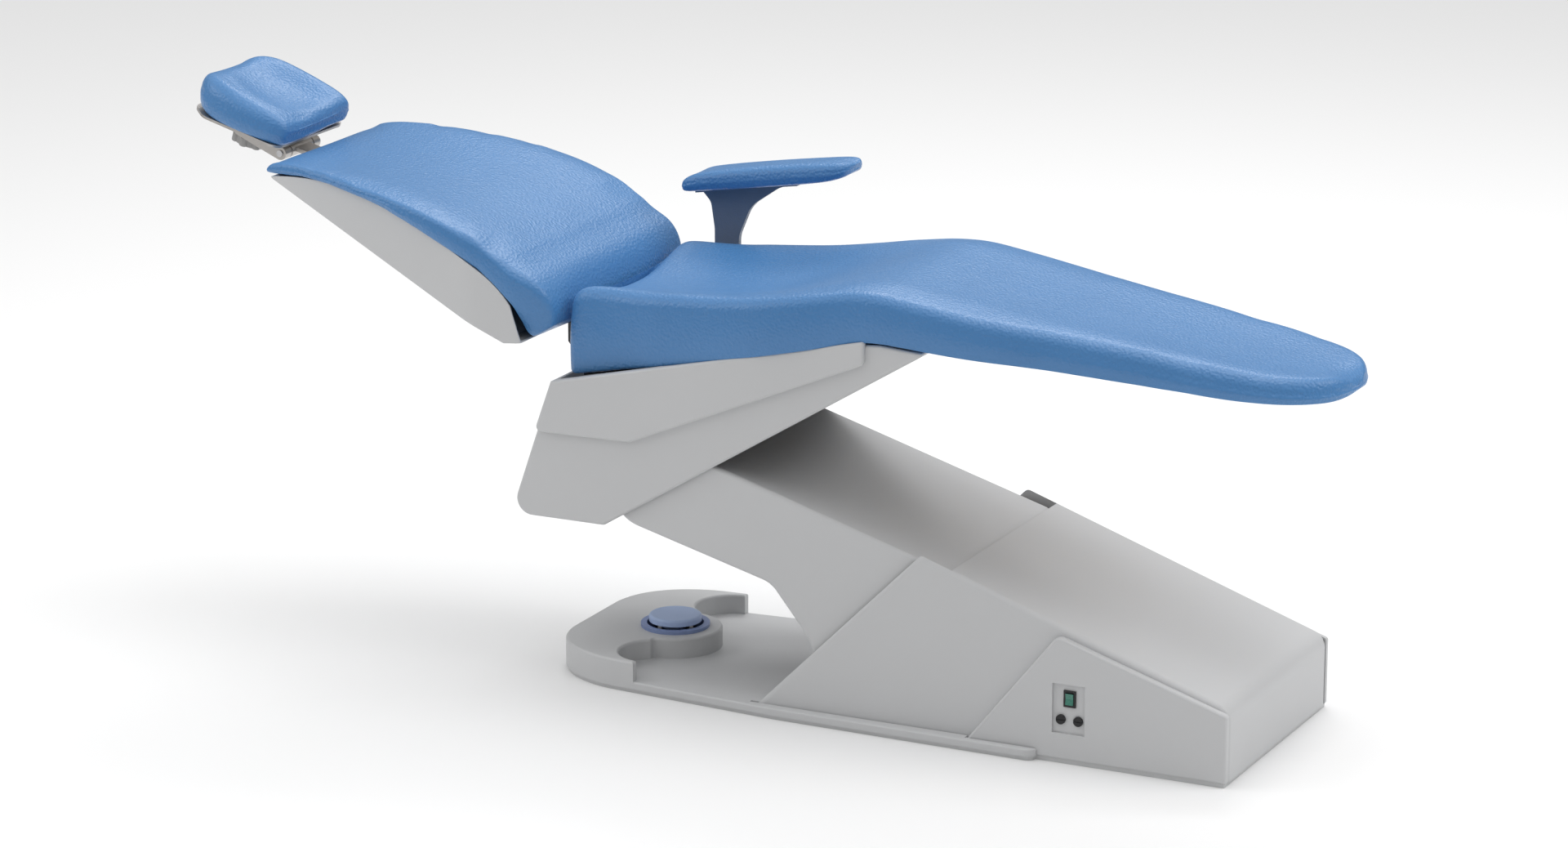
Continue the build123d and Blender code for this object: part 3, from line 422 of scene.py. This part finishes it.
ROLL = [  # outer point and inner point from the recline axis, half width, dish, edge and foot radius
    (-38, 90.5, -52, 57, 229.5, 4.5, 11, 3), (-27, 84.5, -42.5, 49, 229, 4, 12, 3),
    (-18, 77.5, -34, 41, 228.5, 4, 13, 3), (-8, 70.5, -27, 33.5, 228, 3.5, 14, 3),
    (2, 64, -20.5, 26.5, 227, 3, 15, 3), (14.5, 57, -14.5, 19, 225, 3, 16, 3),
    (24, 49.5, -11, 12.5, 222, 3, 16, 3), (32, 41, -9, 6, 219, 3, 16, 3),
    (38, 32, -7, 0, 216, 3, 16, 3), (42, 23, -5, -6, 213, 3, 16, 3),
    (44.5, 14, -3, -12, 210, 3, 15, 3), (45.8, 5.5, -1.3, -18, 207.5, 2.5, 14, 3),
    (45.8, -2.5, 0.7, -24, 205, 2, 13, 3), (44.6, -9, 3.2, -28.5, 202, 1.5, 11, 3),
    (42.3, -14, 6.5, -31.8, 198, 1, 9, 3), (39, -17, 11, -33, 193, 0, 6, 2)]
for out_x, out_z, in_x, in_z, half_w, dish, edge_r, foot_r in ROLL:
    stations.append((from_pivot(out_x, out_z), from_pivot(in_x, in_z), half_w, dish, edge_r, foot_r, 2))
back_pad = loft("back_pad", stations)
stuffed(back_pad, 3, 3, 1)
HINGE_ROOM = [(-30, -60), (-30, 19), (8, 24), (25, 4), (70, 4), (70, -60)]  # from the recline axis
cut_room(back_pad, [from_pivot(x, z) for x, z in HINGE_ROOM], 55)
upholster(back_pad, "backrest", "back_cushion")


# Headrest pad: a dished pillow on its sloping plate, thick and round at the outer end.
def on_slope(origin, x, z):
    """Point in the headrest's frame, which rises towards -X."""
    c, s = cos(radians(HEAD_DEG)), sin(radians(HEAD_DEG))
    return (origin[0] + x * c + z * s, origin[1] - x * s + z * c)


plate_middle = on_slope(on_slope(TILT_HINGE, 0, 17), 14, 0)
HEAD = [  # along the slope, top, underside, half width, dish, edge radius
    (-89, 35, 28, 34, 0, 3), (-88, 41, 22, 47, 0, 7), (-85, 46.5, 17, 59, 0.5, 12),
    (-80, 51.5, 12.5, 70, 1.5, 17), (-73, 55.5, 8.5, 80, 3, 21), (-64, 58, 5.5, 89, 5, 24),
    (-53, 58.8, 3.2, 96, 8, 25), (-40, 58.3, 1.6, 101, 11, 25), (-22, 56, 0.8, 104.5, 14, 25),
    (-2, 53.2, 0.5, 106, 16, 24), (18, 50.6, 0.5, 106, 16, 23), (36, 48.4, 0.5, 104.5, 15, 22),
    (52, 46.3, 0.5, 102.5, 13, 20), (66, 43.8, 0.6, 100, 9.5, 18), (76, 40.5, 1.2, 97.5, 6, 16),
    (83, 36, 3, 94.5, 3, 12), (87, 30, 6.5, 90, 1, 8), (88.6, 24, 11, 85, 0, 4)]
stations = []
for x, top, under, half_w, dish, edge_r in HEAD:
    stations.append((on_slope(plate_middle, x, top), on_slope(plate_middle, x, under),
                     half_w, dish, edge_r, 12, 1.5))
head_pad = loft("headrest_pad", stations)
stuffed(head_pad, 3, 3, 2)
upholster(head_pad, "headrest", "headrest_cushion")

# Armrest pad: level underside, bevelled at the elbow end and lifted off its bracket at the hand end.
REST = [  # along the chair, top, underside, half width, edge radius
    (-467.5, 13, 4, 29, 3), (-466, 16.5, 1.5, 33, 6), (-461, 20.5, 0.5, 36.5, 9),
    (-452, 24.5, 0, 38, 11), (-438, 26.8, 0, 38, 12), (-400, 27.4, 0, 38, 12),
    (-340, 27.6, 0, 38, 12), (-280, 27.4, 0, 38, 12), (-244, 27.2, 0.2, 38, 12),
    (-228, 27, 1, 38, 12), (-215, 26.6, 2.4, 36.8, 12), (-206, 25.8, 4.2, 33.5, 11),
    (-200, 24.4, 6.2, 28.5, 9), (-196.5, 22.2, 8.6, 22, 7), (-194.6, 19.4, 11.2, 15, 4)]
stations = []
for x, top, under, half_w, edge_r in REST:
    foot = ARMREST_FOOT[1] + tan(radians(ARMREST_DEG)) * (x - ARMREST_FOOT[0])
    stations.append(((x, foot + top), (x, foot + under), half_w, 0, edge_r, 6, 1))
armrest_cover = loft("armrest_cover", stations, ARMREST_Y)
stuffed(armrest_cover, 3, 2, 2)
upholster(armrest_cover, "armrest", "armrest_pad")

# ------------------------------------------------------------ light, floor and camera
bpy.context.scene.view_settings.view_transform = "Standard"
world = bpy.data.worlds.new("studio")
bpy.context.scene.world = world
world.use_nodes = True
sky_links = world.node_tree.links
sky = world.node_tree.nodes["Background"]
direction = world.node_tree.nodes.new("ShaderNodeTexCoord")
height = world.node_tree.nodes.new("ShaderNodeSeparateXYZ")
overhead = world.node_tree.nodes.new("ShaderNodeMapRange")
for socket, value in (("From Min", 0.1), ("From Max", 1.0), ("To Min", 0.10), ("To Max", 1.17)):
    overhead.inputs[socket].default_value = value
sky_links.new(direction.outputs["Generated"], height.inputs["Vector"])
sky_links.new(height.outputs["Z"], overhead.inputs["Value"])
sky_links.new(overhead.outputs["Result"], sky.inputs["Strength"])
sky.inputs["Color"].default_value = (1, 1, 1, 1)

floor_mesh = bpy.data.meshes.new("studio_floor")
floor_mesh.from_pydata([(-30, -30, 0), (30, -30, 0), (30, 30, 0), (-30, 30, 0)], [], [(0, 1, 2, 3)])
studio_floor = bpy.data.objects.new("studio_floor", floor_mesh)
bpy.context.scene.collection.objects.link(studio_floor)
floor_mesh.materials.append(finish("floor_paint", Base_Color=(0.9, 0.9, 0.9, 1), Roughness=0.8))


def panel_light(name, place, aim, size, power):
    data = bpy.data.lights.new(name, "AREA")
    data.shape = "RECTANGLE"
    data.size, data.size_y = size
    data.energy = power
    lamp = bpy.data.objects.new(name, data)
    lamp.location = place
    lamp.rotation_euler = (Vector(aim) - Vector(place)).to_track_quat("-Z", "Y").to_euler()
    bpy.context.scene.collection.objects.link(lamp)


panel_light("overhead", (0.6, 0.2, 4.5), (0, 0, 0.3), (2.6, 2.6), 44)
panel_light("back", (-0.9, 2.9, 3.6), (-0.4, 0, 0.6), (2.4, 1.2), 40)
panel_light("foot_side", (3.8, 1.2, 3.4), (0.1, 0, 0.3), (2.4, 2.0), 46)
panel_light("head_fill", (-2.6, -1.3, 2.0), (-0.35, 0, 0.03), (1.8, 1.4), 14)

camera_data = bpy.data.cameras.new("camera")
camera_data.lens = 118.71
camera_data.sensor_width = 36
camera_data.clip_end = 100
camera = bpy.data.objects.new("camera", camera_data)
camera.location = (2.9578, -6.4707, 2.3581)
camera.rotation_euler = Vector((-0.4239, 0.8660, -0.2653)).to_track_quat("-Z", "Y").to_euler()
bpy.context.scene.collection.objects.link(camera)
bpy.context.scene.camera = camera
